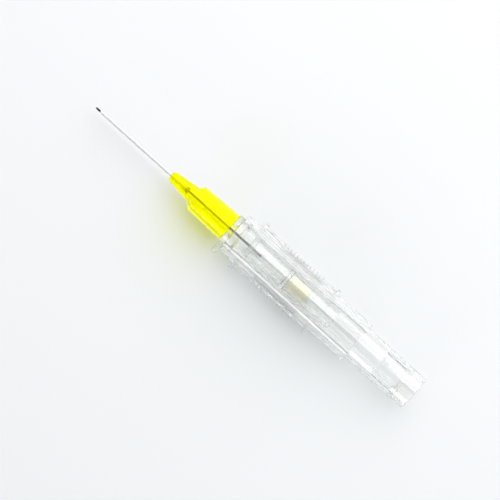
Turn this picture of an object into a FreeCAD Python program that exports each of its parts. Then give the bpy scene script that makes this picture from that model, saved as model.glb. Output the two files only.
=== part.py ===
import FreeCAD, Part
import math
import os

# Safety intravenous cannula, 24 gauge, in millimetres. It lies along X with the needle's point
# towards -X and the bevel up. The origin is the centre of the housing's flat underside.

# Layout along the axis
saddle_length = 20.6
saddle_setback = 3.4
housing_length = 33.1
guard_length = 50.2
hub_gap = 0.15
exposed_tube_length = 19.2
needle_reach = 1.3

# Steel needle
needle_outer_radius = 0.225
needle_bore_radius = 0.125
bevel_length = 1.2
side_grind_angle = 30.0
side_grind_roll = 40.0
needle_past_seat = 0.5

# Soft tube over the needle
tube_bore_clearance = 0.02
tube_wall = 0.105
tube_tip_wall = 0.035
tube_tip_taper_length = 2.0
tube_spread_length = 0.6
tube_length_on_flare = 0.6

# Metal eyelet that wedges the tube into the hub
eyelet_bore_clearance = 0.045
eyelet_wall = 0.09
eyelet_setback = 1.0
eyelet_sleeve_length = 2.5
eyelet_flare_length = 1.25
eyelet_rim_radius = 0.80
press_clearance = 0.01

# Hub with its tapered socket
nose_length = 5.9
nose_wall = 0.74
nose_draft = 0.75
nose_bevel = 0.4
shoulder_length = 0.9
shoulder_bevel = 0.3
body_length = 8.75
body_wall = 0.98
body_draft = 0.25
socket_mouth_radius = 2.15
socket_depth = 8.0
taper_per_side = 0.03
eyelet_room = 0.4
edge_break = 0.2
lug_height = 0.77
lug_width = 3.2
lug_thickness = 1.2

# Guard that slides forward over the needle
luer_clearance = 0.04
luer_nose_length = 6.5
needle_way_radius = 0.5
needle_way_mouth_radius = 1.1
guard_front_wall = 1.4
guard_wall = 0.65
neck_length = 2.8
neck_step = 0.3
neck_wall = 0.7
tab_setback = 0.4
tab_thickness = 1.0
tab_gap = 0.3
tab_overhang = 1.25
tab_width = 5.0
tab_rounding = 1.2
slot_clearance = 0.15

# Locking tongue in the guard's top wall
tongue_length = 4.75
tongue_width = 4.2
tongue_slit = 0.45
tongue_margin = 0.2
catch_length = 1.2
catch_width = 2.6
catch_height = 0.35

# Collar that closes the guard's rear end
collar_length = 3.1
spigot_length = 1.0
spigot_wall = 0.32
spigot_clearance = 0.03

# Channel that the hand holds
running_clearance = 0.10
housing_wall = 0.8
floor_thickness = 1.1
top_opening_width = 5.4
opening_rounding = 0.2
saddle_above_axis = 1.8
saddle_bottom_rounding = 0.8
saddle_top_rounding = 1.3
lip_length = 0.85
front_lip_stand = 1.25
rear_lip_stand = 1.0
grip_front_stand = 0.6
grip_waist_stand = 0.25
grip_rear_stand = 0.45
rib_pitch = 0.85
rib_width = 0.5
rib_height = 0.15
rib_margin_front = 5.0
rib_margin_rear = 3.2

# Flash chamber that carries the needle, on a web and a foot let into the housing's floor
chamber_length = 22.8
chamber_bore_radius = 1.70
chamber_wall = 0.725
chamber_way = 0.375
chamber_front_wall = 1.0
needle_seat_length = 2.8
needle_seat_clearance = 0.015
needle_boss_wall = 0.55
bond_well_radius = 0.65
bond_well_depth = 0.9
web_margin = 0.9
web_setback = 0.5
web_length = 2.8
web_thickness = 1.6
foot_width = 2.8
foot_thickness = 0.5
foot_clearance = 0.05

# Porous plug and its ring
stop_ring_setback = 9.9
stop_ring_length = 0.7
stop_ring_height = 0.2
plug_length = 5.4
plug_chamfer = 0.4
ring_thickness = 0.45
ring_bore_radius = 0.9

# How far a cut reaches past what it cuts, and how near two lengths or places count as the same
overshoot = 1.0
same = 1e-6

# Places along the axis that follow from the sizes
saddle_front = -saddle_length / 2
saddle_rear = saddle_front + saddle_length
grip_front = saddle_front + lip_length
grip_rear = saddle_rear - lip_length
housing_front = saddle_front - saddle_setback
housing_rear = housing_front + housing_length
guard_front = housing_front - tab_gap - tab_thickness - tab_setback
guard_rear = guard_front + guard_length
guard_tube_rear = guard_rear - collar_length
hub_rear = guard_front - hub_gap
body_front = hub_rear - body_length
nose_rear = body_front - shoulder_length
hub_front = nose_rear - nose_length
tube_tip = hub_front - exposed_tube_length
needle_tip = tube_tip - needle_reach
web_front = saddle_front + web_margin
web_rear = web_front + web_length
chamber_front = web_front - web_setback
chamber_rear = chamber_front + chamber_length
chamber_wall_rear = chamber_front + chamber_front_wall
needle_seat_rear = chamber_front + needle_seat_length
needle_rear = needle_seat_rear + needle_past_seat
well_rear = chamber_front + bond_well_depth
eyelet_front = hub_front + eyelet_setback
flare_front = eyelet_front + eyelet_sleeve_length
eyelet_rear = flare_front + eyelet_flare_length
tube_rear = flare_front + tube_length_on_flare
stop_ring_front = chamber_front + stop_ring_setback
plug_front = stop_ring_front + stop_ring_length
plug_rear = plug_front + plug_length
tongue_root = guard_tube_rear - spigot_length - tongue_margin
tongue_end = tongue_root - tongue_length

# Radii and heights that follow from the walls and the fits, from the chamber outwards
chamber_outer_radius = chamber_bore_radius + chamber_wall
collar_bore_radius = chamber_outer_radius + chamber_way
guard_bore_radius = collar_bore_radius + spigot_wall + spigot_clearance
guard_outer_radius = guard_bore_radius + guard_wall
neck_outer_radius = guard_outer_radius - neck_step
neck_bore_radius = neck_outer_radius - neck_wall
housing_bore_radius = guard_outer_radius + running_clearance
housing_outer_radius = housing_bore_radius + housing_wall
axis_height = housing_bore_radius + floor_thickness
saddle_height = axis_height + saddle_above_axis
slot_width = web_thickness + 2 * slot_clearance

# Radii that follow from the walls and the fits, from the needle outwards
needle_hole_radius = needle_outer_radius + needle_seat_clearance
needle_boss_radius = needle_hole_radius + needle_boss_wall
tube_bore_radius = needle_outer_radius + tube_bore_clearance
tube_outer_radius = tube_bore_radius + tube_wall
eyelet_bore_radius = needle_outer_radius + eyelet_bore_clearance
eyelet_outer_radius = eyelet_bore_radius + eyelet_wall
spread_bore_radius = eyelet_outer_radius + press_clearance
spread_outer_radius = spread_bore_radius + tube_wall
flare_slope = (eyelet_rim_radius - eyelet_outer_radius) / eyelet_flare_length
flare_growth = flare_slope * tube_length_on_flare
hub_bore_radius = tube_outer_radius + press_clearance
nose_front_radius = hub_bore_radius + nose_wall
nose_rear_radius = nose_front_radius + nose_draft
body_rear_radius = socket_mouth_radius + body_wall
body_front_radius = body_rear_radius - body_draft
lug_radius = body_rear_radius + lug_height

vector = FreeCAD.Vector
along = vector(1, 0, 0)
axis_point = vector(0, 0, axis_height)


def closed_wire(corners):
    """Closed wire through (point, size, form) corners, each plain, cut off straight or round."""
    starts = []
    ends = []
    middles = []
    for index, (corner, size, form) in enumerate(corners):
        before = (corners[index - 1][0] - corner).normalize()
        after = (corners[(index + 1) % len(corners)][0] - corner).normalize()
        half_angle = before.getAngle(after) / 2
        leg = size / math.tan(half_angle) if form == "round" else size
        inwards = (before + after).normalize()
        starts.append(corner + before * leg)
        ends.append(corner + after * leg)
        middles.append(corner + inwards * (size / math.sin(half_angle) - size))
    edges = []
    for index, (corner, size, form) in enumerate(corners):
        if form == "round":
            edges.append(Part.Arc(starts[index], middles[index], ends[index]).toShape())
        elif form == "cut":
            edges.append(Part.LineSegment(starts[index], ends[index]).toShape())
        following = starts[(index + 1) % len(corners)]
        if ends[index].distanceToPoint(following) > same:
            edges.append(Part.LineSegment(ends[index], following).toShape())
    return Part.Wire(edges)


def turned(outline):
    """Solid turned about the axis from (station, radius) points, which may add a size and a form."""
    corners = []
    for station, radius, *ending in outline:
        size, form = ending if ending else (0, "plain")
        corners.append((vector(station, 0, axis_height + radius), size, form))
    return Part.Face(closed_wire(corners)).revolve(axis_point, along, 360)


def rod(radius, start, end):
    """Round bar on the axis between two stations."""
    return Part.makeCylinder(radius, end - start, vector(start, 0, axis_height), along)


def block(start, end, half_width, bottom, top):
    """Box between two stations, centred on the XZ plane."""
    return Part.makeBox(end - start, 2 * half_width, top - bottom, vector(start, -half_width, bottom))


def male_radius(station):
    """Radius of the guard's tapered nose, which follows the hub's socket with its clearance."""
    return socket_mouth_radius - luer_clearance - taper_per_side * (hub_rear - station)


def grinding_block(point, normal):
    """Block whose lower face passes through the point, square to the normal."""
    size = 6 * needle_outer_radius + 2 * bevel_length
    tool = Part.makeBox(2 * size, 2 * size, size, vector(-size, -size, 0))
    tool.Placement = FreeCAD.Placement(point, FreeCAD.Rotation(vector(0, 0, 1), normal))
    return tool


def make_needle():
    """Steel tube with a long bevel facing up and two side grinds that meet in the point."""
    tube = rod(needle_outer_radius, needle_tip, needle_rear)
    tube = tube.cut(rod(needle_bore_radius, needle_tip - overshoot, needle_rear + overshoot))
    point = vector(needle_tip, 0, axis_height - needle_outer_radius)
    bevel_angle = math.atan2(2 * needle_outer_radius, bevel_length)
    tube = tube.cut(grinding_block(point, vector(-math.sin(bevel_angle), 0, math.cos(bevel_angle))))
    steep = math.radians(side_grind_angle)
    roll = math.radians(side_grind_roll)
    for side in (-1, 1):
        sideways = side * math.cos(steep) * math.sin(roll)
        normal = vector(-math.sin(steep), sideways, math.cos(steep) * math.cos(roll))
        tube = tube.cut(grinding_block(point, normal))
    return tube


def make_needle_bond():
    """Adhesive that fills the well round the needle in the chamber's front wall."""
    return turned([
        (chamber_front, needle_hole_radius),
        (chamber_front, bond_well_radius - press_clearance),
        (well_rear, needle_hole_radius + press_clearance),
        (well_rear, needle_hole_radius),
    ])


def make_flash_chamber():
    """Clear tube whose front wall and boss hold the needle, with a web below it and a foot."""
    stop_radius = chamber_bore_radius - stop_ring_height
    tube = turned([
        (chamber_front, bond_well_radius),
        (chamber_front, chamber_outer_radius, web_setback, "cut"),
        (chamber_rear, chamber_outer_radius, edge_break, "cut"),
        (chamber_rear, chamber_bore_radius, edge_break, "cut"),
        (plug_front, chamber_bore_radius),
        (plug_front, stop_radius),
        (stop_ring_front, stop_radius),
        (stop_ring_front, chamber_bore_radius),
        (chamber_wall_rear, chamber_bore_radius, edge_break, "cut"),
        (chamber_wall_rear, needle_boss_radius),
        (needle_seat_rear, needle_boss_radius, edge_break, "cut"),
        (needle_seat_rear, needle_hole_radius),
        (well_rear, needle_hole_radius),
        (well_rear, needle_hole_radius + 2 * press_clearance),
    ])
    inside_wall = axis_height - (chamber_outer_radius + chamber_bore_radius) / 2
    web = block(web_front, web_rear, web_thickness / 2, floor_thickness, inside_wall)
    foot = block(web_front, web_rear, foot_width / 2, floor_thickness - foot_thickness, floor_thickness)
    return tube.fuse([web, foot]).removeSplitter()


def make_filter_plug():
    """Porous plug between the stop ring and the retaining ring."""
    radius = chamber_bore_radius - press_clearance
    return turned([
        (plug_front, 0),
        (plug_front, radius - plug_chamfer),
        (plug_front + plug_chamfer, radius),
        (plug_rear, radius),
        (plug_rear, 0),
    ])


def make_filter_ring():
    """Thin ring pressed in behind the porous plug."""
    ring_rear = plug_rear + ring_thickness
    return turned([
        (plug_rear, ring_bore_radius),
        (plug_rear, chamber_bore_radius - press_clearance),
        (ring_rear, chamber_bore_radius - press_clearance),
        (ring_rear, ring_bore_radius),
    ])


def make_catheter_tube():
    """Soft tube with a tapered tip, spread over the eyelet's sleeve and the start of its flare."""
    spread_front = eyelet_front - tube_spread_length
    return turned([
        (tube_tip, tube_bore_radius),
        (tube_tip, tube_bore_radius + tube_tip_wall),
        (tube_tip + tube_tip_taper_length, tube_outer_radius),
        (spread_front, tube_outer_radius),
        (eyelet_front, spread_outer_radius),
        (flare_front, spread_outer_radius),
        (tube_rear, spread_outer_radius + flare_growth),
        (tube_rear, spread_bore_radius + flare_growth),
        (flare_front, spread_bore_radius),
        (eyelet_front, spread_bore_radius),
        (spread_front, tube_bore_radius),
    ])


def make_catheter_eyelet():
    """Rolled metal sleeve with a trumpet mouth."""
    return turned([
        (eyelet_front, eyelet_bore_radius),
        (eyelet_front, eyelet_outer_radius),
        (flare_front, eyelet_outer_radius),
        (eyelet_rear, eyelet_rim_radius),
        (eyelet_rear, eyelet_rim_radius - eyelet_wall),
        (flare_front, eyelet_bore_radius),
    ])


def make_catheter_hub():
    """Tapered nose, shoulder and body with a 6 % socket, a funnel to the eyelet and two lugs."""
    socket_front = hub_rear - socket_depth
    funnel_front = eyelet_rear + eyelet_room
    spread_front = eyelet_front - tube_spread_length
    seat_radius = spread_outer_radius + press_clearance
    seat_mouth_radius = seat_radius + flare_slope * (funnel_front - flare_front)
    body = turned([
        (hub_front, hub_bore_radius),
        (hub_front, nose_front_radius, nose_bevel, "cut"),
        (nose_rear, nose_rear_radius),
        (body_front, body_front_radius, shoulder_bevel, "cut"),
        (hub_rear, body_rear_radius, edge_break, "cut"),
        (hub_rear, socket_mouth_radius),
        (socket_front, socket_mouth_radius - taper_per_side * socket_depth),
        (funnel_front, seat_mouth_radius),
        (flare_front, seat_radius),
        (eyelet_front, seat_radius),
        (spread_front, hub_bore_radius),
    ])
    root_radius = (socket_mouth_radius + body_rear_radius) / 2
    lug_front = hub_rear - lug_thickness
    bar = block(lug_front, hub_rear, lug_width / 2, axis_height - lug_radius, axis_height + lug_radius)
    bar = bar.common(turned([
        (lug_front, 0),
        (lug_front, lug_radius, edge_break, "cut"),
        (hub_rear, lug_radius, edge_break, "cut"),
        (hub_rear, 0),
    ]))
    lugs = bar.cut(rod(root_radius, lug_front, hub_rear))
    return body.fuse(lugs).removeSplitter()


def make_push_off_tab():
    """Flat plate square to the axis that reaches past the housing's side."""
    tab_front = guard_front + tab_setback
    bottom = axis_height - tab_width / 2
    top = axis_height + tab_width / 2
    reach = housing_outer_radius + tab_overhang
    outline = closed_wire([
        (vector(tab_front, 0, bottom), 0, "plain"),
        (vector(tab_front, 0, top), 0, "plain"),
        (vector(tab_front, -reach, top), tab_rounding, "round"),
        (vector(tab_front, -reach, bottom), tab_rounding, "round"),
    ])
    plate = Part.Face(outline).extrude(along * tab_thickness)
    rim = [edge for edge in plate.Edges if edge.CenterOfMass.y < -neck_outer_radius
           and abs(edge.CenterOfMass.x - tab_front - tab_thickness / 2) > tab_thickness / 4]
    return plate.makeChamfer(edge_break, rim)


def make_locking_tongue_slit():
    """U of three narrow slits that frees a tongue in the guard's top wall, rooted at the rear."""
    top = axis_height + guard_outer_radius + catch_height
    window = block(tongue_end - tongue_slit, tongue_root, tongue_width / 2 + tongue_slit,
                   axis_height, top)
    tongue = block(tongue_end, tongue_root, tongue_width / 2, axis_height - overshoot, top + overshoot)
    return window.cut(tongue)


def make_catch():
    """Wedge on the tongue's free end, with its steep side forwards."""
    inside = axis_height + guard_outer_radius - guard_wall / 2
    top = axis_height + guard_outer_radius + catch_height
    side = closed_wire([
        (vector(tongue_end, -catch_width / 2, inside), 0, "plain"),
        (vector(tongue_end, -catch_width / 2, top), 0, "plain"),
        (vector(tongue_end + catch_length, -catch_width / 2, inside), 0, "plain"),
    ])
    return Part.Face(side).extrude(vector(0, catch_width, 0))


def make_needle_guard():
    """Clear tube with a tapered nose for the hub, a push-off tab and a slot for the web."""
    nose_tip = guard_front - luer_nose_length
    wall_rear = guard_front + guard_front_wall
    neck_rear = guard_front + neck_length
    body = turned([
        (nose_tip, needle_way_radius),
        (nose_tip, male_radius(nose_tip), edge_break, "cut"),
        (guard_front, male_radius(guard_front)),
        (guard_front, neck_outer_radius, edge_break, "cut"),
        (neck_rear, neck_outer_radius),
        (neck_rear, guard_outer_radius, edge_break, "cut"),
        (guard_tube_rear, guard_outer_radius),
        (guard_tube_rear, guard_bore_radius),
        (neck_rear + guard_wall, guard_bore_radius),
        (neck_rear, neck_bore_radius),
        (wall_rear, neck_bore_radius, edge_break, "cut"),
        (wall_rear, needle_way_mouth_radius),
        (guard_front, needle_way_radius),
    ])
    tab = make_push_off_tab().cut(rod(neck_outer_radius - neck_wall / 2, guard_front, neck_rear))
    slot = block(web_front - slot_clearance, guard_tube_rear, slot_width / 2,
                 axis_height - guard_outer_radius - overshoot, axis_height)
    body = body.fuse([tab, make_catch()])
    return body.cut(slot).cut(make_locking_tongue_slit()).removeSplitter()


def make_guard_end_collar():
    """Ring behind the guard's tube, with a spigot inside it that leaves the slot open."""
    spigot_front = guard_tube_rear - spigot_length
    ring = turned([
        (spigot_front, collar_bore_radius),
        (spigot_front, guard_bore_radius - spigot_clearance),
        (guard_tube_rear, guard_bore_radius - spigot_clearance),
        (guard_tube_rear, guard_outer_radius),
        (guard_rear, guard_outer_radius, edge_break, "cut"),
        (guard_rear, collar_bore_radius, edge_break, "cut"),
    ])
    slot = block(spigot_front, guard_tube_rear, slot_width / 2, 0, axis_height)
    return ring.cut(slot)


def saddle_prism(start, end, half_width):
    """Length of the saddle's section, flat below and rounded at its four corners."""
    outline = closed_wire([
        (vector(start, -half_width, 0), saddle_bottom_rounding, "round"),
        (vector(start, half_width, 0), saddle_bottom_rounding, "round"),
        (vector(start, half_width, saddle_height), saddle_top_rounding, "round"),
        (vector(start, -half_width, saddle_height), saddle_top_rounding, "round"),
    ])
    return Part.Face(outline).extrude(along * (end - start))


def waist_arc():
    """Arc in plan that the grip's hollow side follows, on the +Y side."""
    middle = (grip_front + grip_rear) / 2
    return Part.Arc(
        vector(grip_front, housing_outer_radius + grip_front_stand, 0),
        vector(middle, housing_outer_radius + grip_waist_stand, 0),
        vector(grip_rear, housing_outer_radius + grip_rear_stand, 0),
    ).toShape()


def make_waist_scoops():
    """Tools that hollow both sides of the grip along the waist's arc."""
    arc = waist_arc()
    outside = housing_outer_radius + front_lip_stand
    straight_sides = Part.makePolygon([
        arc.Vertexes[-1].Point,
        vector(grip_rear, outside, 0),
        vector(grip_front, outside, 0),
        arc.Vertexes[0].Point,
    ])
    outline = Part.Wire([arc] + straight_sides.Edges)
    scoop = Part.Face(outline).extrude(vector(0, 0, saddle_height))
    return [scoop, scoop.mirror(vector(0, 0, 0), vector(0, 1, 0))]


def make_ribs():
    """Fine upright ridges on both sides of the waist, standing out of its arc."""
    circle = waist_arc().Curve
    first = grip_front + rib_margin_front
    count = int((grip_rear - rib_margin_rear - first) / rib_pitch) + 1
    height = saddle_height - saddle_top_rounding - saddle_bottom_rounding
    ribs = []
    for index in range(count):
        station = first + index * rib_pitch
        side = circle.Center.y - math.sqrt(circle.Radius ** 2 - (station - circle.Center.x) ** 2)
        ridge = Part.Face(closed_wire([
            (vector(station - rib_width / 2, side - rib_height, saddle_bottom_rounding), 0, "plain"),
            (vector(station, side + rib_height, saddle_bottom_rounding), 0, "plain"),
            (vector(station + rib_width / 2, side - rib_height, saddle_bottom_rounding), 0, "plain"),
        ])).extrude(vector(0, 0, height))
        ribs.append(ridge)
        ribs.append(ridge.mirror(vector(0, 0, 0), vector(0, 1, 0)))
    return ribs


def make_housing():
    """Channel open along its top, with a saddle round its middle that the fingers hold."""
    front = housing_front - overshoot
    rear = housing_rear + overshoot
    top = axis_height + housing_outer_radius + overshoot
    channel = rod(housing_outer_radius, housing_front, housing_rear)
    bore = rod(housing_bore_radius, front, rear)
    opening = block(front, rear, top_opening_width / 2, axis_height, top)
    channel = channel.cut(bore).cut(opening)
    edges = [edge for edge in channel.Edges if edge.Length > housing_length - same
             and edge.CenterOfMass.z > axis_height]
    channel = channel.makeFillet(opening_rounding, edges)

    half_width = housing_outer_radius + grip_front_stand
    grip = saddle_prism(grip_front, grip_rear, half_width).cut(make_waist_scoops())
    lips = [
        saddle_prism(saddle_front, grip_front, housing_outer_radius + front_lip_stand),
        saddle_prism(grip_rear, saddle_rear, housing_outer_radius + rear_lip_stand),
    ]
    saddle = grip.fuse(lips + make_ribs()).cut(bore)
    recess = block(web_front - foot_clearance, web_rear + foot_clearance,
                   foot_width / 2 + foot_clearance, floor_thickness - foot_thickness, axis_height)
    return channel.fuse(saddle).cut(recess).removeSplitter()


pieces = {
    "needle": make_needle,
    "needle_bond": make_needle_bond,
    "flash_chamber": make_flash_chamber,
    "filter_plug": make_filter_plug,
    "filter_ring": make_filter_ring,
    "housing": make_housing,
    "needle_guard": make_needle_guard,
    "guard_end_collar": make_guard_end_collar,
    "catheter_hub": make_catheter_hub,
    "catheter_tube": make_catheter_tube,
    "catheter_eyelet": make_catheter_eyelet,
}

os.makedirs("parts", exist_ok=True)
for name, make in pieces.items():
    shape = make()
    shape.exportStep("parts/" + name + ".step")
    print(name, "valid", shape.isValid(), "solids", len(shape.Solids),
          "volume", round(shape.Volume, 3), "faces", len(shape.Faces))
print("guard travel", round(guard_tube_rear - web_rear, 3))
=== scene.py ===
import bpy
import numpy as np
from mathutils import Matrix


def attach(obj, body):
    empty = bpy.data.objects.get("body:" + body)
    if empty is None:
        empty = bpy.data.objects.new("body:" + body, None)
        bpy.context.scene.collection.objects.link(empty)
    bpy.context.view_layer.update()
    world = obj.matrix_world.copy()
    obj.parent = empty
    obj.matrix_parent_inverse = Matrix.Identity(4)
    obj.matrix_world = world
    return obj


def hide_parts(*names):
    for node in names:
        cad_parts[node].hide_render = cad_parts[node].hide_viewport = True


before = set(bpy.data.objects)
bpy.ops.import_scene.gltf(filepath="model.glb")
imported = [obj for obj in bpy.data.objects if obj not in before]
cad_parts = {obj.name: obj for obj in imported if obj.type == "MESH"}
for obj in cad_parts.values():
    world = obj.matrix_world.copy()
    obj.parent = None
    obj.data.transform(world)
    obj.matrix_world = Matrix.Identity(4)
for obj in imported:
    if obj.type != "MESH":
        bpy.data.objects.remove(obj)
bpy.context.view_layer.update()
mm = 0.001


# The flash chamber
# A clear moulded tube behind the needle, where blood shows first. Its closed front end holds the
# needle, and a web below it ends in a foot that is welded into the housing's floor.

axis_height = 5.0 * mm
chamber_front, chamber_rear = -9.9 * mm, 12.9 * mm
chamber_outer, chamber_bore = 2.425 * mm, 1.70 * mm
chamber_wall_rear, boss_rear, boss_radius = -8.9 * mm, -7.1 * mm, 0.79 * mm
needle_seat_radius = 0.24 * mm
bond_well_mouth, bond_well_root, bond_well_rear = 0.65 * mm, 0.26 * mm, -9.0 * mm
stop_ring_front, stop_ring_rear, stop_ring_radius = 0.0 * mm, 0.7 * mm, 1.0 * mm
stop_ring_fillet, stop_ring_rounding = 0.25 * mm, 0.2 * mm
web_front, web_rear, web_half_width = -9.4 * mm, -6.6 * mm, 0.8 * mm
foot_half_width, foot_bottom, foot_top = 1.4 * mm, 0.62 * mm, 1.1 * mm
web_bottom, web_softness = foot_bottom + 0.1 * mm, 0.1 * mm


def rounded_outline(corners, steps=7):
    """Closed outline through (a, b, rounding) corners. Each corner becomes an arc that touches
    both its sides: the radii to the arc's two ends are blended by the sines of their angles."""
    same_place = 1e-8
    corner = np.array([entry[:2] for entry in corners])
    rounding = np.array([entry[2] for entry in corners])[:, None]
    back = np.roll(corner, 1, axis=0) - corner
    ahead = np.roll(corner, -1, axis=0) - corner
    back /= np.linalg.norm(back, axis=1, keepdims=True)
    ahead /= np.linalg.norm(ahead, axis=1, keepdims=True)
    half = np.arccos(np.clip(np.sum(back * ahead, axis=1, keepdims=True), -1, 1)) / 2
    inwards = back + ahead
    inwards /= np.linalg.norm(inwards, axis=1, keepdims=True)
    centre = corner + inwards * rounding / np.sin(half)
    first = corner + back * rounding / np.tan(half) - centre
    last = corner + ahead * rounding / np.tan(half) - centre
    turn = np.pi - 2 * half
    part = np.linspace(0, 1, steps)
    of_first = (np.sin((1 - part) * turn) / np.sin(turn))[..., None]
    of_last = (np.sin(part * turn) / np.sin(turn))[..., None]
    points = (centre[:, None] + first[:, None] * of_first + last[:, None] * of_last).reshape(-1, 2)
    apart = np.linalg.norm(points - np.roll(points, 1, axis=0), axis=1) > same_place
    return points[apart]


def grid_faces(rows, columns, close_rows):
    """Four-sided faces between neighbours of a grid whose columns close into a ring."""
    row = np.arange(rows if close_rows else rows - 1)[:, None]
    column = np.arange(columns)[None, :]
    next_row = (row + 1) % rows
    next_column = (column + 1) % columns
    faces = np.stack([row * columns + column, row * columns + next_column,
                      next_row * columns + next_column, next_row * columns + column], axis=-1)
    return faces.reshape(-1, 4).tolist()


def capped_faces(rows, columns):
    """Faces of a stack of rings, with one more across the first ring and one across the last."""
    first = list(range(columns))
    last = list(range((rows - 1) * columns, rows * columns))
    return grid_faces(rows, columns, False) + [first[::-1], last]


def smooth_but_for_edges(mesh, sharp_angle=40):
    """Smooth shading, broken where two faces meet at more than the angle in degrees."""
    mesh.update()
    mesh.shade_smooth()
    mesh.set_sharp_from_angle(angle=np.radians(sharp_angle))


def new_piece(name, points, faces):
    """Object at the origin from an array of points and a list of faces."""
    mesh = bpy.data.meshes.new(name)
    mesh.from_pydata(points.reshape(-1, 3).tolist(), [], faces)
    smooth_but_for_edges(mesh)
    piece = bpy.data.objects.new(name, mesh)
    bpy.context.scene.collection.objects.link(piece)
    return piece


def turned_piece(name, corners, around=180):
    """Surface of revolution: a point (x, r) of the outline goes at angle a to the place
    (x, r sin a, axis height + r cos a)."""
    outline = rounded_outline(corners)
    angle = np.linspace(0, 2 * np.pi, around, endpoint=False)
    station = outline[:, 0][:, None] + 0 * angle
    across = outline[:, 1][:, None] * np.sin(angle)
    up = axis_height + outline[:, 1][:, None] * np.cos(angle)
    points = np.stack([station, across, up], axis=-1)
    faces = [face[::-1] for face in grid_faces(len(outline), around, True)]
    return new_piece(name, points, faces)


def plate_piece(name, corners, start, end, softness):
    """Plate between two stations along X from a (y, z) outline. At both ends the outline draws in
    by 1 - sin of a quarter turn while the station runs in by 1 - cos, so the rims are round."""
    outline = rounded_outline(corners)
    tangent = np.roll(outline, -1, axis=0) - np.roll(outline, 1, axis=0)
    normal = np.stack([tangent[:, 1], -tangent[:, 0]], axis=1)
    normal /= np.linalg.norm(normal, axis=1, keepdims=True)
    quarter = np.linspace(0, np.pi / 2, 4)
    run_in = softness * (1 - np.cos(quarter))
    draw_in = softness * (1 - np.sin(quarter))
    station = np.concatenate([start + run_in, end - run_in[::-1]])
    drawn_in = np.concatenate([draw_in, draw_in[::-1]])
    ring = outline[None] - normal[None] * drawn_in[:, None, None]
    rows, columns = ring.shape[:2]
    along = np.broadcast_to(station[:, None, None], (rows, columns, 1))
    return new_piece(name, np.concatenate([along, ring], axis=2), capped_faces(rows, columns))


def combined(piece, other, operation):
    """Adds the other solid to the piece, or takes it away, and deletes the other."""
    change = piece.modifiers.new("change", "BOOLEAN")
    change.operation = operation
    change.solver = "EXACT"
    change.object = other
    changed = piece.evaluated_get(bpy.context.evaluated_depsgraph_get())
    mesh = bpy.data.meshes.new_from_object(changed)
    piece.modifiers.clear()
    piece.data = mesh
    bpy.data.objects.remove(other)
    smooth_but_for_edges(mesh)


def straight_walls(piece):
    """Normals weighted by area, so that a long wall isn't bent in its look by its rounded ends."""
    normals = piece.modifiers.new("straight_walls", "WEIGHTED_NORMAL")
    normals.keep_sharp = True


def box_corners(half_width, bottom, top, rounding=0.0):
    """Corners of an upright rectangle about the XZ plane."""
    return [(-half_width, bottom, rounding), (half_width, bottom, rounding),
            (half_width, top, rounding), (-half_width, top, rounding)]


chamber = turned_piece("chamber_shell", [
    (chamber_front, bond_well_mouth, 0.03 * mm),
    (chamber_front, chamber_outer, 0.5 * mm),
    (chamber_rear, chamber_outer, 0.2 * mm),
    (chamber_rear, chamber_bore, 0.2 * mm),
    (stop_ring_rear, chamber_bore, stop_ring_fillet),
    (stop_ring_rear, stop_ring_radius, stop_ring_rounding),
    (stop_ring_front, stop_ring_radius, stop_ring_rounding),
    (stop_ring_front, chamber_bore, stop_ring_fillet),
    (chamber_wall_rear, chamber_bore, 0.3 * mm),
    (chamber_wall_rear, boss_radius, 0.15 * mm),
    (boss_rear, boss_radius, 0.2 * mm),
    (boss_rear, needle_seat_radius, 0.02 * mm),
    (bond_well_rear, needle_seat_radius, 0),
    (bond_well_rear, bond_well_root, 0),
])
web_top = axis_height - (chamber_outer + chamber_bore) / 2
web = plate_piece("web", box_corners(web_half_width, web_bottom, web_top),
                  web_front, web_rear, web_softness)
foot = plate_piece("foot", box_corners(foot_half_width, foot_bottom, foot_top, web_softness),
                   web_front, web_rear, web_softness)
combined(web, foot, "UNION")
combined(chamber, web, "UNION")


def new_value_socket(group, name, way, default=0.0):
    """Number socket on a node group's outside."""
    socket = group.interface.new_socket(name, in_out=way, socket_type="NodeSocketFloat")
    if way == "INPUT":
        socket.default_value = default


def moulded_skin_group():
    """Skin that a mould leaves: broad clouds of slightly different polish, and fine flow lines
    drawn out along the part."""
    group = bpy.data.node_groups.new("moulded_skin", "ShaderNodeTree")
    new_value_socket(group, "Cloud Scale", "INPUT", 400)
    new_value_socket(group, "Lowest Roughness", "INPUT", 0.02)
    new_value_socket(group, "Highest Roughness", "INPUT", 0.08)
    new_value_socket(group, "Roughness", "OUTPUT")
    new_value_socket(group, "Height", "OUTPUT")
    new_value_socket(group, "Cloud", "OUTPUT")
    nodes, links = group.nodes, group.links
    inside = nodes.new("NodeGroupInput")
    outside = nodes.new("NodeGroupOutput")
    place = nodes.new("ShaderNodeTexCoord")
    stretch = nodes.new("ShaderNodeMapping")
    stretch.inputs["Scale"].default_value = (0.25, 1, 1)
    clouds = nodes.new("ShaderNodeTexNoise")
    clouds.inputs["Detail"].default_value = 3
    lines = nodes.new("ShaderNodeTexNoise")
    lines.inputs["Scale"].default_value = 1500
    lines.inputs["Detail"].default_value = 2
    polish = nodes.new("ShaderNodeMapRange")
    polish.inputs["From Min"].default_value = 0.3
    polish.inputs["From Max"].default_value = 0.7
    links.new(place.outputs["Object"], stretch.inputs["Vector"])
    links.new(stretch.outputs["Vector"], clouds.inputs["Vector"])
    links.new(stretch.outputs["Vector"], lines.inputs["Vector"])
    links.new(inside.outputs["Cloud Scale"], clouds.inputs["Scale"])
    links.new(clouds.outputs["Fac"], polish.inputs["Value"])
    links.new(inside.outputs["Lowest Roughness"], polish.inputs["To Min"])
    links.new(inside.outputs["Highest Roughness"], polish.inputs["To Max"])
    links.new(polish.outputs["Result"], outside.inputs["Roughness"])
    links.new(lines.outputs["Fac"], outside.inputs["Height"])
    links.new(clouds.outputs["Fac"], outside.inputs["Cloud"])
    return group


moulded_skin = moulded_skin_group()


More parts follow.
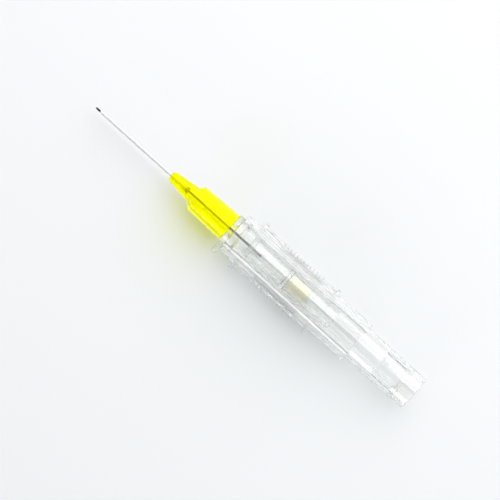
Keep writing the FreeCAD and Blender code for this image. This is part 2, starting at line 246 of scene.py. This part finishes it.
def moulded_plastic(name, thin_colour, thick_colour, roughness, transmission, ior, bump,
                    shadow_tint):
    """Moulded plastic whose colour drifts between two tones with the skin's clouds. Where a tint
    is given, shadow rays and scattered light pass straight through each wall and take it on."""
    material = bpy.data.materials.new(name)
    material.use_nodes = True
    nodes, links = material.node_tree.nodes, material.node_tree.links
    surface = nodes["Principled BSDF"]
    output = nodes["Material Output"]
    surface.inputs["IOR"].default_value = ior
    surface.inputs["Transmission Weight"].default_value = transmission
    skin = nodes.new("ShaderNodeGroup")
    skin.node_tree = moulded_skin
    skin.inputs["Lowest Roughness"].default_value = roughness[0]
    skin.inputs["Highest Roughness"].default_value = roughness[1]
    tone = nodes.new("ShaderNodeMix")
    tone.data_type = "RGBA"
    tone.inputs["A"].default_value = (*thin_colour, 1)
    tone.inputs["B"].default_value = (*thick_colour, 1)
    relief = nodes.new("ShaderNodeBump")
    relief.inputs["Strength"].default_value = 1
    relief.inputs["Distance"].default_value = bump
    links.new(skin.outputs["Cloud"], tone.inputs["Factor"])
    links.new(tone.outputs["Result"], surface.inputs["Base Color"])
    links.new(skin.outputs["Roughness"], surface.inputs["Roughness"])
    links.new(skin.outputs["Height"], relief.inputs["Height"])
    links.new(relief.outputs["Normal"], surface.inputs["Normal"])
    if shadow_tint:
        clear = nodes.new("ShaderNodeBsdfTransparent")
        clear.inputs["Color"].default_value = (*shadow_tint, 1)
        ray = nodes.new("ShaderNodeLightPath")
        straight = nodes.new("ShaderNodeMath")
        straight.operation = "MAXIMUM"
        choice = nodes.new("ShaderNodeMixShader")
        links.new(ray.outputs["Is Shadow Ray"], straight.inputs[0])
        links.new(ray.outputs["Is Diffuse Ray"], straight.inputs[1])
        links.new(straight.outputs["Value"], choice.inputs["Fac"])
        links.new(surface.outputs["BSDF"], choice.inputs[1])
        links.new(clear.outputs["BSDF"], choice.inputs[2])
        links.new(choice.outputs["Shader"], output.inputs["Surface"])
    return material


chamber_plastic = moulded_plastic(
    "chamber_plastic", (0.995, 1.0, 0.997), (0.98, 0.99, 0.985), roughness=(0.01, 0.03),
    transmission=0.96, ior=1.49, bump=0.00003 * mm, shadow_tint=(0.93, 0.935, 0.932))
straight_walls(chamber)
chamber.data.materials.append(chamber_plastic)
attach(chamber, "housing")
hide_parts("flash_chamber")


# The needle
# Drawn stainless tube, cut, then ground to a long bevel and two side grinds. The grinding and
# the drawing leave fine lines along it.


def steel(name, colour, roughness):
    """Steel with fine drawn lines: noise stretched two hundred times along the tube."""
    material = bpy.data.materials.new(name)
    material.use_nodes = True
    nodes, links = material.node_tree.nodes, material.node_tree.links
    surface = nodes["Principled BSDF"]
    surface.inputs["Metallic"].default_value = 1
    place = nodes.new("ShaderNodeTexCoord")
    stretch = nodes.new("ShaderNodeMapping")
    stretch.inputs["Scale"].default_value = (0.005, 1, 1)
    lines = nodes.new("ShaderNodeTexNoise")
    lines.inputs["Scale"].default_value = 12000
    lines.inputs["Detail"].default_value = 3
    polish = nodes.new("ShaderNodeMapRange")
    polish.inputs["To Min"].default_value = roughness[0]
    polish.inputs["To Max"].default_value = roughness[1]
    tone = nodes.new("ShaderNodeMix")
    tone.data_type = "RGBA"
    tone.inputs["A"].default_value = (*[0.85 * channel for channel in colour], 1)
    tone.inputs["B"].default_value = (*colour, 1)
    relief = nodes.new("ShaderNodeBump")
    relief.inputs["Strength"].default_value = 1
    relief.inputs["Distance"].default_value = 0.0001 * mm
    links.new(place.outputs["Object"], stretch.inputs["Vector"])
    links.new(stretch.outputs["Vector"], lines.inputs["Vector"])
    links.new(lines.outputs["Fac"], polish.inputs["Value"])
    links.new(polish.outputs["Result"], surface.inputs["Roughness"])
    links.new(lines.outputs["Fac"], tone.inputs["Factor"])
    links.new(tone.outputs["Result"], surface.inputs["Base Color"])
    links.new(lines.outputs["Fac"], relief.inputs["Height"])
    links.new(relief.outputs["Normal"], surface.inputs["Normal"])
    return material


def dress(node, material):
    """Gives a solid's mesh its material."""
    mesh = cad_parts[node].data
    mesh.materials.clear()
    mesh.materials.append(material)


dress("needle", steel("needle_steel", (0.10, 0.10, 0.105), (0.2, 0.3)))


# The needle's bond
# Adhesive run into the well round the needle at the chamber's front, and cured to a clear,
# slightly milky plug.

dress("needle_bond", moulded_plastic(
    "adhesive", (0.93, 0.93, 0.88), (0.85, 0.85, 0.78), roughness=(0.1, 0.25),
    transmission=0.7, ior=1.5, bump=0.001 * mm, shadow_tint=(0.9, 0.9, 0.86)))


# The filter plug and its ring
# Sintered porous plastic that lets air out and holds blood back. A thin white ring pressed in
# behind it keeps it against the chamber's stop ring.


def porous_plastic(name, light_colour, pore_shade_colour):
    """Fused grains: cells about a sixth of a millimetre across, with painted shade where their borders
    sink in between them. A patchy noise deepens or lightens that shade and varies the roughness.
    """
    material = bpy.data.materials.new(name)
    material.use_nodes = True
    nodes, links = material.node_tree.nodes, material.node_tree.links
    surface = nodes["Principled BSDF"]
    surface.inputs["Subsurface Weight"].default_value = 1
    surface.inputs["Subsurface Radius"].default_value = (1, 0.9, 0.6)
    surface.inputs["Subsurface Scale"].default_value = 1.5 * mm
    place = nodes.new("ShaderNodeTexCoord")
    grains = nodes.new("ShaderNodeTexVoronoi")
    grains.inputs["Scale"].default_value = 6500
    patchy_shade_and_matt = nodes.new("ShaderNodeTexNoise")
    patchy_shade_and_matt.inputs["Scale"].default_value = 900
    tone = nodes.new("ShaderNodeMix")
    tone.data_type = "RGBA"
    tone.inputs["A"].default_value = (*light_colour, 1)
    tone.inputs["B"].default_value = (*pore_shade_colour, 1)
    shade = nodes.new("ShaderNodeMath")
    shade.operation = "MULTIPLY"
    matt = nodes.new("ShaderNodeMapRange")
    matt.inputs["To Min"].default_value = 0.65
    matt.inputs["To Max"].default_value = 0.95
    relief = nodes.new("ShaderNodeBump")
    relief.invert = True
    relief.inputs["Strength"].default_value = 0.8
    relief.inputs["Distance"].default_value = 0.04 * mm
    links.new(place.outputs["Object"], grains.inputs["Vector"])
    links.new(place.outputs["Object"], patchy_shade_and_matt.inputs["Vector"])
    # Painted shade: the darker colour goes where the grains' borders are recessed, as the shade in the
    # pores.
    links.new(grains.outputs["Distance"], shade.inputs[0])
    links.new(patchy_shade_and_matt.outputs["Fac"], shade.inputs[1])
    links.new(shade.outputs["Value"], tone.inputs["Factor"])
    links.new(tone.outputs["Result"], surface.inputs["Base Color"])
    links.new(patchy_shade_and_matt.outputs["Fac"], matt.inputs["Value"])
    links.new(matt.outputs["Result"], surface.inputs["Roughness"])
    links.new(grains.outputs["Distance"], relief.inputs["Height"])
    links.new(relief.outputs["Normal"], surface.inputs["Normal"])
    return material


dress("filter_plug", porous_plastic("porous_plug", (0.90, 0.86, 0.60), (0.64, 0.59, 0.34)))
dress("filter_ring", moulded_plastic(
    "ring_plastic", (0.93, 0.93, 0.82), (0.88, 0.87, 0.74), roughness=(0.25, 0.45),
    transmission=0.0, ior=1.5, bump=0.002 * mm, shadow_tint=None))


# The needle guard
# A long clear tube that slides forward over the needle after use. It carries the Luer nose for
# the hub, a push-off tab, a slot below for the chamber's web and a locking tongue on top.

nose_tip, guard_front, guard_tube_rear = -21.9 * mm, -15.15 * mm, 31.7 * mm
nose_tip_radius, nose_root_radius = 1.9195 * mm, 2.1145 * mm
needle_way, needle_way_mouth = 0.5 * mm, 1.1 * mm
guard_outer, guard_bore = 3.8 * mm, 3.15 * mm
neck_rear, neck_outer, neck_bore, neck_slope = -12.6 * mm, 3.5 * mm, 2.8 * mm, 0.65 * mm
guard_wall_rear = -14.0 * mm
slot_front, slot_half_width = -9.55 * mm, 0.95 * mm
tab_front, tab_rear, tab_softness = -15.0 * mm, -14.0 * mm, 0.25 * mm
tab_reach, tab_root, tab_half_width, tab_corner = 5.95 * mm, 3.0 * mm, 2.5 * mm, 1.2 * mm
tongue_end, tongue_root, tongue_half_width, tongue_slit = 25.75 * mm, 30.5 * mm, 2.1 * mm, 0.45 * mm
catch_half_width, catch_length, catch_bottom, catch_top = 1.3 * mm, 1.2 * mm, 3.475 * mm, 4.15 * mm
cutter_overrun = 1 * mm


def cross_prism(name, corners, half_width):
    """Prism across the part from an (x, z) outline, which stands at the sides y = -w and y = w."""
    outline = rounded_outline(corners)
    count = len(outline)
    side = np.array([-half_width, half_width])[:, None] + 0 * outline[None, :, 0]
    ring = np.broadcast_to(outline, (2, count, 2))
    points = np.stack([ring[..., 0], side, ring[..., 1]], axis=-1)
    return new_piece(name, points, capped_faces(2, count))


guard = turned_piece("guard_shell", [
    (nose_tip, needle_way, 0.05 * mm),
    (nose_tip, nose_tip_radius, 0.25 * mm),
    (guard_front, nose_root_radius, 0.05 * mm),
    (guard_front, neck_outer, 0.2 * mm),
    (neck_rear, neck_outer, 0.05 * mm),
    (neck_rear, guard_outer, 0.15 * mm),
    (guard_tube_rear, guard_outer, 0.05 * mm),
    (guard_tube_rear, guard_bore, 0),
    (neck_rear + neck_slope, guard_bore, 0.3 * mm),
    (neck_rear, neck_bore, 0.3 * mm),
    (guard_wall_rear, neck_bore, 0.3 * mm),
    (guard_wall_rear, needle_way_mouth, 0.1 * mm),
    (guard_front, needle_way, 0.3 * mm),
], around=240)
tab = plate_piece("tab", [
    (-tab_reach, axis_height - tab_half_width, tab_corner),
    (-tab_root, axis_height - tab_half_width, 0),
    (-tab_root, axis_height + tab_half_width, 0),
    (-tab_reach, axis_height + tab_half_width, tab_corner),
], tab_front, tab_rear, tab_softness)
combined(guard, tab, "UNION")
catch = cross_prism("catch", [
    (tongue_end, axis_height + catch_bottom, 0),
    (tongue_end, axis_height + catch_top, 0.05 * mm),
    (tongue_end + catch_length, axis_height + catch_bottom, 0),
], catch_half_width)
combined(guard, catch, "UNION")
slot = plate_piece("slot", box_corners(slot_half_width, 0, axis_height),
                   slot_front, guard_tube_rear + cutter_overrun, 0)
combined(guard, slot, "DIFFERENCE")
window_top = axis_height + guard_outer + cutter_overrun
window_half_width = tongue_half_width + tongue_slit
window = plate_piece("window", box_corners(window_half_width, axis_height, window_top),
                     tongue_end - tongue_slit, tongue_root, 0)
tongue = plate_piece("tongue", box_corners(tongue_half_width, 0, 2 * window_top),
                     tongue_end, tongue_root + cutter_overrun, 0)
combined(window, tongue, "DIFFERENCE")
combined(guard, window, "DIFFERENCE")
guard_plastic = moulded_plastic(
    "guard_plastic", (0.99, 0.995, 0.99), (0.97, 0.98, 0.975), roughness=(0.01, 0.03),
    transmission=0.91, ior=1.49, bump=0.00003 * mm, shadow_tint=(0.93, 0.935, 0.932))
straight_walls(guard)
guard.data.materials.append(guard_plastic)
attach(guard, "guard")
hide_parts("needle_guard")


# The guard's end collar
# A short ring whose spigot is pressed and welded into the guard's rear end. It bridges the slot,
# so the guard stops when the collar meets the chamber's web.

collar_front, collar_rear, collar_bore = 30.7 * mm, 34.8 * mm, 2.8 * mm
spigot_outer = 3.12 * mm

collar = turned_piece("collar_ring", [
    (collar_front, collar_bore, 0.05 * mm),
    (collar_front, spigot_outer, 0.05 * mm),
    (guard_tube_rear, spigot_outer, 0),
    (guard_tube_rear, guard_outer, 0.05 * mm),
    (collar_rear, guard_outer, 0.25 * mm),
    (collar_rear, collar_bore, 0.15 * mm),
], around=240)
spigot_slot = plate_piece("slot", box_corners(slot_half_width, 0, axis_height),
                          collar_front - cutter_overrun, guard_tube_rear, 0)
combined(collar, spigot_slot, "DIFFERENCE")
collar_plastic = moulded_plastic(
    "collar_plastic", (0.985, 0.99, 0.98), (0.96, 0.97, 0.955), roughness=(0.03, 0.07),
    transmission=0.92, ior=1.49, bump=0.00005 * mm, shadow_tint=(0.925, 0.93, 0.927))
straight_walls(collar)
collar.data.materials.append(collar_plastic)
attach(collar, "guard")
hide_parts("guard_end_collar")


# The housing
# A clear channel, open along its top, that the guard runs in. The saddle round its middle is what
# the fingers hold: flat below, hollowed and ribbed at its sides, with a lip at each end.

housing_front, housing_rear = -13.7 * mm, 19.4 * mm
housing_outer, housing_bore, opening_half_width = 4.7 * mm, 3.9 * mm, 2.7 * mm
opening_softness, end_softness, lip_softness, lip_fillet = 0.15 * mm, 0.12 * mm, 0.2 * mm, 0.1 * mm
saddle_front, saddle_rear, lip_length, saddle_top = -10.3 * mm, 10.3 * mm, 0.85 * mm, 6.8 * mm
front_lip_half_width, rear_lip_half_width = 5.95 * mm, 5.7 * mm
grip_front_half_width, grip_waist_half_width, grip_rear_half_width = 5.3 * mm, 4.95 * mm, 5.15 * mm
saddle_bottom_rounding, saddle_top_rounding, side_lean = 0.8 * mm, 1.3 * mm, 0.2 * mm
bead_inset, bead_half_width, bead_height = 0.3 * mm, 0.28 * mm, 0.35 * mm
first_rib, last_rib, rib_pitch = -4.45 * mm, 5.75 * mm, 0.85 * mm
rib_height, rib_width, rib_fade, rib_reach = 0.28 * mm, 0.7 * mm, 0.4 * mm, 0.75 * mm
recess_bottom, recess_play = 0.6 * mm, 0.05 * mm
arc_points = 12


def on_circle(radius, angle):
    """Points (y, z) on a circle about the axis, at angles counted from straight down."""
    return np.stack([radius * np.sin(angle), axis_height - radius * np.cos(angle)], axis=-1)


def opening_angle(half_width, radius):
    """Angle, from straight down, at which a circle meets the opening's side."""
    return np.pi - np.arcsin(half_width / radius)


def softened(before, corner, after, count=6):
    """Quadratic curve that leaves one side of a corner and joins the other."""
    part = np.linspace(0, 1, count)[:, None]
    return (1 - part) ** 2 * before + 2 * part * (1 - part) * corner + part ** 2 * after


def saddle_side(half_width, drawn_in, lean):
    """Half of the saddle's face: flat bottom, rounded corner, a side that leans out towards its
    foot, a rounded shoulder with a bead along its edge, and then the channel's arc. The shoulder
    ends where its circle crosses the channel's, or else a level shelf joins them."""
    bottom, side, top = drawn_in, half_width - drawn_in, saddle_top - drawn_in
    low, high = saddle_bottom_rounding, saddle_top_rounding
    turn = np.linspace(0, np.pi / 2, 8)
    flat = np.stack([np.linspace(0, side - low, 8), np.full(8, bottom)], axis=1)[:-1]
    heel = np.stack([side - low + low * np.sin(turn), bottom + low - low * np.cos(turn)], axis=1)
    wall = np.stack([np.full(14, side), np.linspace(bottom + low, top - high, 14)], axis=1)[1:-1]
    centre = np.array([side - high, top - high - axis_height])
    away = np.linalg.norm(centre)
    crossing = (housing_outer ** 2 - away ** 2 - high ** 2) / (2 * high * away)
    crossing_angle = np.arctan2(centre[1], centre[0]) + np.arccos(np.clip(crossing, -1, 1))
    last = min(np.pi / 2, crossing_angle)
    arc = np.linspace(0, last, 16)
    shoulder = np.stack([side - high + high * np.cos(arc), top - high + high * np.sin(arc)], axis=1)
    off_bead = np.clip((shoulder[:, 0] - side + bead_inset) / bead_half_width, -1, 1)
    shoulder[:, 1] += bead_height * np.cos(np.pi / 2 * off_bead) ** 2
    join = np.pi / 2 + np.arcsin((top - axis_height) / housing_outer)
    if last < np.pi / 2:
        join = np.arctan2(shoulder[-1, 0], axis_height - shoulder[-1, 1]) + 0.1
    shelf = np.linspace(shoulder[-1], on_circle(housing_outer, join), 4)[1:]
    below = np.concatenate([flat, heel, wall, shoulder, shelf])
    depth = np.clip((top - high - below[:, 1]) / (top - high - bottom - low), 0, 1)
    below = below * np.stack([1 + lean * depth / side, 1 + 0 * depth], axis=1)
    corner_angle = opening_angle(opening_half_width, housing_outer) - opening_softness / housing_outer
    above = on_circle(housing_outer, np.linspace(join, corner_angle, arc_points))[1:]
    return below, above


def whole_section(lower, arc, outer_radius, bore_radius, half_width):
    """Closed section from the outside of its half: the opening's softened edge ends the outer
    path, the bore gives an inner path of as many points, and both are mirrored about the middle."""
    outer_angle = opening_angle(half_width, outer_radius)
    inner_angle = opening_angle(half_width, bore_radius)
    corner = np.array([half_width, axis_height - outer_radius * np.cos(outer_angle)])
    edge = softened(arc[-1], corner, corner - [0, opening_softness])[1:]
    outer = np.concatenate([lower, arc, edge])
    inner_end = inner_angle - opening_softness / bore_radius
    inner_arc = on_circle(bore_radius, np.linspace(0, inner_end, len(outer) - len(edge)))
    inner_corner = np.array([half_width, axis_height - bore_radius * np.cos(inner_angle)])
    inner_edge = softened(inner_arc[-1], inner_corner, inner_corner + [0, opening_softness])[1:]
    inner = np.concatenate([inner_arc, inner_edge])
    outer_path = np.concatenate([outer[:0:-1] * [-1, 1], outer])
    inner_path = np.concatenate([inner[:0:-1] * [-1, 1], inner])[::-1]
    return np.concatenate([outer_path, inner_path])


def channel_section(lip_half_width, inset=0):
    """Section of the bare channel, with its points at the angles of the lip's. The inset draws
    its outside in and widens its bore and opening, which rounds its ends."""
    lip, _ = saddle_side(lip_half_width, 0, 0)
    angle = np.arctan2(lip[:, 0], axis_height - lip[:, 1])
    outer_radius, half_width = housing_outer - inset, opening_half_width + inset
    arc_end = opening_angle(half_width, outer_radius) - opening_softness / outer_radius
    arc = on_circle(outer_radius, np.linspace(angle[-1], arc_end, arc_points))[1:]
    return whole_section(on_circle(outer_radius, angle), arc, outer_radius, housing_bore + inset,
                         half_width)


def saddle_section(half_width, drawn_in, rib, lean):
    """Section through the saddle. A rib moves its side out, from above the foot's rounding up
    over the shoulder's edge, and fades at both ends."""
    lower, arc = saddle_side(half_width, drawn_in, lean)
    rise = np.clip((lower[:, 1] - saddle_bottom_rounding) / rib_fade, 0, 1)
    reach = np.clip((lower[:, 0] - half_width + rib_reach) / rib_fade, 0, 1)
    lower = lower + np.stack([rib * rise * reach, 0 * rise], axis=1)
    return whole_section(lower, arc, housing_outer, housing_bore, opening_half_width)


def waist(station):
    """Half-width of the grip: a parabola through its front, middle and rear half-widths."""
    along = (station - saddle_front - lip_length) / (saddle_rear - saddle_front - 2 * lip_length)
    ends = grip_front_half_width + (grip_rear_half_width - grip_front_half_width) * along
    hollow = (grip_front_half_width + grip_rear_half_width) / 2 - grip_waist_half_width
    return ends - 4 * hollow * along * (1 - along)


def ribs(station):
    """Height of the ribs' ridges: a raised cosine in every pitch between the first and the last."""
    phase = (station - first_rib) / rib_pitch
    offset = (phase - np.round(phase)) * rib_pitch
    in_row = (phase > -0.5) & (phase < (last_rib - first_rib) / rib_pitch + 0.5)
    on_rib = in_row & (np.abs(offset) < rib_width / 2)
    return np.where(on_rib, rib_height * (0.5 + 0.5 * np.cos(2 * np.pi * offset / rib_width)), 0)


def saddle_rows(station, half_width, drawn_in=0, rib=0, lean=0):
    """Rows of the saddle, each a station and what its section takes."""
    return np.stack(np.broadcast_arrays(station, half_width, drawn_in, rib, lean), axis=1)


def make_housing():
    """Carries the housing's section from its front to its rear, and closes both ends between the
    outer and the inner path. Rims and fillets are quarter circles: out is 1 - cos, back 1 - sin."""
    quarter = np.linspace(0, np.pi / 2, 5)
    out, back = 1 - np.cos(quarter), 1 - np.sin(quarter)
    lip_start, lip_end = saddle_front + lip_length, saddle_rear - lip_length
    ribs_start, ribs_end = first_rib - rib_pitch / 2, last_rib + rib_pitch / 2
    grip = np.concatenate([
        np.linspace(lip_start + lip_fillet, ribs_start, 12)[:-1],
        np.arange(ribs_start, ribs_end + 1e-9, rib_pitch / 12),
        np.linspace(ribs_end, lip_end - lip_fillet, 10)[1:],
    ])
    saddle = np.concatenate([
        saddle_rows(saddle_front + lip_softness * out, front_lip_half_width, lip_softness * back),
        saddle_rows(lip_start - lip_softness * back, front_lip_half_width - lip_softness * out),
        saddle_rows(lip_start + lip_fillet * out, waist(lip_start) + lip_fillet * back, lean=side_lean),
        saddle_rows(grip, waist(grip), rib=ribs(grip), lean=side_lean),
        saddle_rows(lip_end - lip_fillet * back, waist(lip_end) + lip_fillet * out, lean=side_lean),
        saddle_rows(lip_end + lip_softness * out, rear_lip_half_width - lip_softness * back),
        saddle_rows(saddle_rear - lip_softness * back, rear_lip_half_width, lip_softness * out),
    ])
    front_end, insets = housing_front + end_softness * out, end_softness * back
    rear_end = (housing_front + housing_rear - front_end)[::-1]
    stations = np.concatenate([front_end, [saddle_front], saddle[:, 0], [saddle_rear], rear_end])
    front_rims = [channel_section(front_lip_half_width, inset) for inset in insets]
    rear_rims = [channel_section(rear_lip_half_width, inset) for inset in insets[::-1]]
    sections = np.stack(
        front_rims + [channel_section(front_lip_half_width)]
        + [saddle_section(*row[1:]) for row in saddle]
        + [channel_section(rear_lip_half_width)] + rear_rims)
    count, ring = sections.shape[:2]
    along = np.broadcast_to(stations[:, None, None], (count, ring, 1))
    points = np.concatenate([along, sections], axis=2)
    near = np.arange(ring // 2 - 1)
    cap = np.stack([near, ring - 1 - near, ring - 2 - near, near + 1], axis=1)
    rear_cap = cap[:, ::-1] + (count - 1) * ring
    faces = grid_faces(count, ring, False) + cap.tolist() + rear_cap.tolist()
    return new_piece("housing_shell", points, faces)


housing = make_housing()
recess = plate_piece("recess", box_corners(foot_half_width + recess_play, recess_bottom, axis_height),
                     web_front - recess_play, web_rear + recess_play, 0)
combined(housing, recess, "DIFFERENCE")
housing_plastic = moulded_plastic(
    "housing_plastic", (0.99, 0.995, 0.99), (0.97, 0.98, 0.975), roughness=(0.01, 0.03),
    transmission=0.86, ior=1.55, bump=0.00003 * mm, shadow_tint=(0.93, 0.935, 0.932))
straight_walls(housing)
housing.data.materials.append(housing_plastic)
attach(housing, "housing")
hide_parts("housing")


# The catheter's tube
# Soft fluoropolymer tube, drawn thin at its tip and spread over the eyelet at its root. It is
# milky but thin, so the needle shows inside it as a grey core.

dress("catheter_tube", moulded_plastic(
    "tube_plastic", (0.98, 0.98, 0.98), (0.94, 0.94, 0.94), roughness=(0.06, 0.12),
    transmission=0.5, ior=1.38, bump=0.0001 * mm, shadow_tint=(0.95, 0.95, 0.95)))


# The catheter's eyelet
# Rolled stainless sleeve with a trumpet mouth, pushed into the tube's spread root and pressed
# with it into the hub, where it wedges the tube.

dress("catheter_eyelet", steel("eyelet_steel", (0.26, 0.26, 0.26), (0.2, 0.4)))


# The catheter's hub
# Moulded in transparent yellow, the colour of its gauge. Its tapered socket takes the guard's
# nose, and two lugs at the rear take a screw lock.

hub_front, nose_rear, body_front, hub_rear = -31.1 * mm, -25.2 * mm, -24.3 * mm, -15.2 * mm
nose_front_radius, nose_rear_radius = 1.10 * mm, 1.85 * mm
body_front_radius, body_rear_radius = 2.88 * mm, 3.13 * mm
socket_front, socket_mouth, socket_floor = -23.55 * mm, 2.15 * mm, 1.91 * mm
funnel_front, funnel_radius = -25.95 * mm, 1.044 * mm
eyelet_seat_rear, eyelet_seat_front, eyelet_seat_radius = -27.6 * mm, -30.1 * mm, 0.485 * mm
tube_seat_rear, tube_seat_radius = -30.7 * mm, 0.36 * mm
lug_radius, lug_half_width, lug_front, lug_root = 3.9 * mm, 1.6 * mm, -16.75 * mm, 2.3 * mm
lug_softness = 0.15 * mm

hub = turned_piece("hub_shell", [
    (hub_front, tube_seat_radius, 0.05 * mm),
    (hub_front, nose_front_radius, 0.55 * mm),
    (nose_rear, nose_rear_radius, 0.45 * mm),
    (body_front, body_front_radius, 0.45 * mm),
    (hub_rear, body_rear_radius, 0.2 * mm),
    (hub_rear, socket_mouth, 0.1 * mm),
    (socket_front, socket_floor, 0.2 * mm),
    (funnel_front, funnel_radius, 0.05 * mm),
    (eyelet_seat_rear, eyelet_seat_radius, 0.05 * mm),
    (eyelet_seat_front, eyelet_seat_radius, 0),
    (tube_seat_rear, tube_seat_radius, 0),
], around=200)
lug_arc = np.linspace(-1, 1, 9) * np.arcsin(lug_half_width / lug_radius)
for side in (1, -1):
    crown = [(lug_radius * np.sin(a), axis_height + side * lug_radius * np.cos(a), 0)
             for a in lug_arc]
    root = [(lug_half_width, axis_height + side * lug_root, 0),
            (-lug_half_width, axis_height + side * lug_root, 0)]
    lug = plate_piece("lug", (crown + root)[::-side], lug_front, hub_rear, lug_softness)
    combined(hub, lug, "UNION")
hub_plastic = moulded_plastic(
    "hub_plastic", (1.0, 0.99, 0.003), (0.99, 0.96, 0.0), roughness=(0.04, 0.1),
    transmission=0.85, ior=1.3, bump=0.0002 * mm, shadow_tint=(0.87, 0.88, 0.12))
hub_skin = hub_plastic.node_tree.nodes["Principled BSDF"]
hub_skin.inputs["Specular Tint"].default_value = (1, 0.95, 0.15, 1)
# Painted glow: a faint yellow emission stands in for light scattered through the hub, so that its far
# side doesn't fall into shade.
hub_skin.inputs["Emission Color"].default_value = (1, 0.98, 0, 1)
hub_skin.inputs["Emission Strength"].default_value = 0.06
straight_walls(hub)
hub.data.materials.append(hub_plastic)
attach(hub, "catheter")
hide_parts("catheter_hub")


# The table
# A plain, smooth, pale sheet that the cannula lies on. It lies a hair below the underside, so that
# the two never share a plane.

floor_reach, floor_drop = 2.0, 0.02 * mm
floor_points = np.array([[-1, -1], [1, -1], [1, 1], [-1, 1]]) * floor_reach
floor_points = np.column_stack([floor_points, np.full(4, -floor_drop)])
floor = new_piece("floor", floor_points, [[0, 1, 2, 3]])
paper = bpy.data.materials.new("floor_paper")
paper.use_nodes = True
paper_surface = paper.node_tree.nodes["Principled BSDF"]
paper_surface.inputs["Roughness"].default_value = 0.9
paper_surface.inputs["Specular IOR Level"].default_value = 0.0
paper_surface.inputs["Base Color"].default_value = (0.905, 0.922, 0.939, 1)
floor.data.materials.append(paper)


# The light
# One long soft box leans over the table on the side away from the tab, from near the zenith down
# to the table. A small bright card stands on the tab's side and lights that flank. The room is dim
# above, and pale near the horizon.

box_top, box_foot, box_width = np.array([0.0, 0.17, 0.9]), np.array([0.0, 1.25, 0.22]), 1.5
box_radiance, card_radiance = 2.66, 5.0
card_width, card_height, card_away = 0.4, 0.42, 0.9


def soft_light(name, width, length, radiance, place, tilt):
    """Rectangular lamp as bright all over as its radiance: its power is that times pi times its
    area. The tilt turns it about X from facing down."""
    lamp = bpy.data.lights.new(name, "AREA")
    lamp.shape = "RECTANGLE"
    lamp.size = width
    lamp.size_y = length
    lamp.energy = radiance * np.pi * width * length
    stand = bpy.data.objects.new(name, lamp)
    stand.location = place
    stand.rotation_euler = (tilt, 0, 0)
    bpy.context.scene.collection.objects.link(stand)


box_lean = np.arctan2(box_foot[1] - box_top[1], box_top[2] - box_foot[2])
soft_light("soft_box", box_width, np.linalg.norm(box_foot - box_top), box_radiance,
           (box_top + box_foot) / 2, box_lean - np.pi / 2)
soft_light("card", card_width, card_height, card_radiance, (0, -card_away, card_height / 2),
           np.pi / 2)

world = bpy.data.worlds.new("room")
bpy.context.scene.world = world
world.use_nodes = True
world_nodes, world_links = world.node_tree.nodes, world.node_tree.links
sky = world_nodes["Background"]
sky.inputs["Color"].default_value = (0.98, 0.99, 1.0, 1)
direction = world_nodes.new("ShaderNodeTexCoord")
split = world_nodes.new("ShaderNodeSeparateXYZ")
upper_room = world_nodes.new("ShaderNodeMapRange")
upper_room.interpolation_type = "SMOOTHSTEP"
upper_room.inputs["From Min"].default_value = -0.8
upper_room.inputs["From Max"].default_value = -0.05
upper_room.inputs["To Min"].default_value = 0.15
upper_room.inputs["To Max"].default_value = 0.18
horizon = world_nodes.new("ShaderNodeMapRange")
horizon.interpolation_type = "SMOOTHSTEP"
horizon.inputs["From Min"].default_value = 0.15
horizon.inputs["From Max"].default_value = 0.03
horizon.inputs["To Min"].default_value = 0
horizon.inputs["To Max"].default_value = 1
room = world_nodes.new("ShaderNodeMix")
room.inputs["B"].default_value = 0.85
world_links.new(direction.outputs["Generated"], split.inputs["Vector"])
world_links.new(split.outputs["Y"], upper_room.inputs["Value"])
world_links.new(split.outputs["Z"], horizon.inputs["Value"])
world_links.new(horizon.outputs["Result"], room.inputs["Factor"])
world_links.new(upper_room.outputs["Result"], room.inputs["A"])
world_links.new(room.outputs["Result"], sky.inputs["Strength"])

# A ray may cross many thin clear walls before it leaves the part.
for kind in ("max_bounces", "transmission_bounces", "transparent_max_bounces"):
    setattr(bpy.context.scene.cycles, kind, 32)


# The camera
# It looks straight down from half a metre with a long lens, turned so that the cannula runs from
# the picture's upper left to its lower right.

camera = bpy.data.cameras.new("camera")
camera.lens = 200
camera.sensor_width = 36
camera.clip_start = 0.01
camera_object = bpy.data.objects.new("camera", camera)
camera_object.location = (-9.14 * mm, -0.55 * mm, 561 * mm + axis_height)
camera_object.rotation_euler = (0, 0, np.radians(42.05))
bpy.context.scene.collection.objects.link(camera_object)
bpy.context.scene.camera = camera_object
bpy.context.scene.view_settings.view_transform = "Standard"
